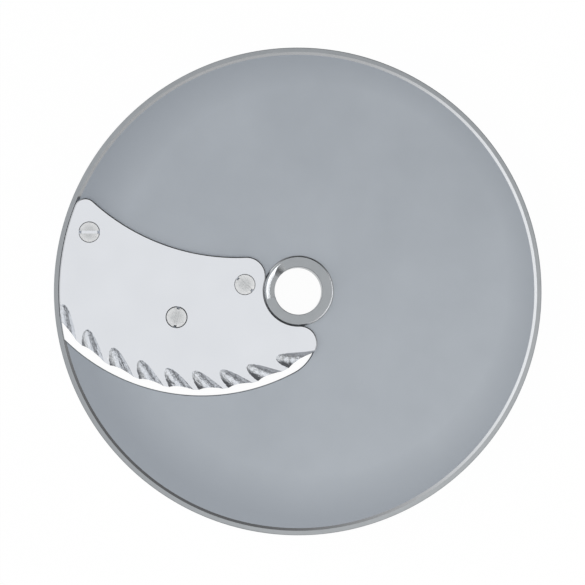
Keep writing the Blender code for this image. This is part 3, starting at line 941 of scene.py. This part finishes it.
def add_floor():
    """A white floor: it glows, with a faint shadow on it, where seen directly or in metal."""
    material = bpy.data.materials.new("white_floor")
    material.use_nodes = True
    tree = material.node_tree
    tree.nodes.remove(tree.nodes["Principled BSDF"])
    rays = wired(tree, "ShaderNodeLightPath", {})
    seen = math_node(tree, "MAXIMUM", rays.outputs["Is Camera Ray"], rays.outputs["Is Glossy Ray"])
    seen = math_node(tree, "MAXIMUM", seen, rays.outputs["Is Transmission Ray"])
    paint = wired(tree, "ShaderNodeBsdfDiffuse", {"Color": grey(FLOOR_PAINT)})
    glow = wired(tree, "ShaderNodeEmission", {"Strength": FLOOR_WHITE})
    white = wired(tree, "ShaderNodeAddShader", {0: paint.outputs[0], 1: glow.outputs[0]})
    bounce = wired(tree, "ShaderNodeBsdfDiffuse", {"Color": grey(FLOOR_BOUNCE)})
    mix = wired(tree, "ShaderNodeMixShader", {0: seen, 1: bounce.outputs[0], 2: white.outputs[0]})
    tree.links.new(mix.outputs[0], tree.nodes["Material Output"].inputs["Surface"])

    form = bmesh.new()
    lowered = Matrix.Translation((0, 0, -FLOOR_DROP))
    bmesh.ops.create_grid(form, size=FLOOR_SIZE / 2, matrix=lowered)
    floor = mesh_object("floor", form, material)


def direction(azimuth, elevation):
    flat = polar(AXIS, math.cos(elevation), azimuth)
    return Vector((flat.x, flat.y, math.sin(elevation)))


def ramp(tree, value, middle, softness):
    """Rises softly from 0 to 1 as an angle passes the middle."""
    inputs = {
        "Value": value,
        "From Min": middle - softness,
        "From Max": middle + softness,
    }
    node = wired(tree, "ShaderNodeMapRange", inputs, interpolation_type="SMOOTHSTEP")
    return node.outputs["Result"]


def panel_mask(tree, toward, from_overhead, azimuth, half_width, near, far):
    """1 on a panel of the dome and 0 off it."""
    level = vector_node(tree, "MULTIPLY", toward, (1, 1, 0)).outputs[0]
    level = vector_node(tree, "NORMALIZE", level).outputs[0]
    facing = vector_node(tree, "DOT_PRODUCT", level, direction(math.radians(azimuth), 0))
    aside = math_node(tree, "ARCCOSINE", facing.outputs["Value"])
    past_near = ramp(tree, from_overhead, math.radians(near), PANEL_SOFTNESS)
    past_far = ramp(tree, from_overhead, math.radians(far), PANEL_SOFTNESS)
    past_side = ramp(tree, aside, math.radians(half_width), PANEL_SIDE_SOFTNESS)
    outside = math_node(tree, "MAXIMUM", past_far, past_side)
    return math_node(tree, "MULTIPLY", past_near, math_node(tree, "SUBTRACT", 1.0, outside))


def set_studio():
    """A white dome, dimmer towards the horizon, with soft edged panels and gaps on it."""
    world = bpy.data.worlds.new("studio")
    bpy.context.scene.world = world
    world.use_nodes = True
    tree = world.node_tree
    background = tree.nodes["Background"]
    toward = wired(tree, "ShaderNodeTexCoord", {}).outputs["Generated"]
    height = wired(tree, "ShaderNodeSeparateXYZ", {0: toward}).outputs["Z"]
    from_overhead = math_node(tree, "ARCCOSINE", height)
    light = remapped(
        tree, from_overhead, OVERHEAD_LIGHT, HORIZON_LIGHT, DOME_FADE_FROM, DOME_FADE_TO
    )
    for azimuth, half_width, near, far, panel_light in PANELS.values():
        mask = panel_mask(tree, toward, from_overhead, azimuth, half_width, near, far)
        light = mixed_value(tree, mask, light, panel_light)
    seen = wired(tree, "ShaderNodeLightPath", {}).outputs["Is Camera Ray"]
    tree.links.new(math_node(tree, "MAXIMUM", light, seen), background.inputs["Strength"])
    background.inputs["Color"].default_value = grey(1)


def add_key_lamp():
    """A soft square lamp, turned to the disc."""
    toward = direction(KEY_AZIMUTH, KEY_ELEVATION)
    data = bpy.data.lights.new("key_lamp", "AREA")
    data.size = KEY_SIZE
    data.energy = KEY_WATTS
    data.color = KEY_COLOR
    lamp = new_object("key_lamp", data)
    lamp.location = KEY_DISTANCE * toward
    lamp.rotation_euler = toward.to_track_quat("Z", "Y").to_euler()
    lamp.visible_camera = False


def add_camera():
    """A long lens nearly straight above the disc, leaning a little towards the blade's side."""
    toward = Vector(
        (
            CAMERA_LEAN_TO.x * math.sin(CAMERA_TILT),
            CAMERA_LEAN_TO.y * math.sin(CAMERA_TILT),
            math.cos(CAMERA_TILT),
        )
    ).normalized()
    across = Vector((0, 1, 0)).cross(toward).normalized()
    up = toward.cross(across)
    data = bpy.data.cameras.new("camera")
    data.sensor_width = SENSOR_WIDTH
    data.lens = SENSOR_WIDTH * CAMERA_DISTANCE / VIEW_WIDTH
    camera = new_object("camera", data)
    turn = Matrix((across, up, toward)).transposed().to_4x4()
    camera.matrix_world = Matrix.Translation(LOOK_AT + CAMERA_DISTANCE * toward) @ turn
    bpy.context.scene.camera = camera


def main():
    bpy.context.scene.view_settings.view_transform = "Standard"
    add_camera()
    set_studio()
    add_key_lamp()
    add_floor()
    machined = turned_aluminium()
    add_disc(blasted_aluminium(), machined, bright_aluminium(), milled_aluminium())
    polished = polished_steel()
    add_blade(polished, ground_steel())
    for place_name, (place, slot_angle, _) in screw_places().items():
        node = place_name + "_blade_screw"
        steel = screw_steel(place)
        slot_steel = polished if place_name == BRIGHT_SLOT else steel
        add_screw(place_name + "_screw", node, place, slot_angle, steel, slot_steel)


main()
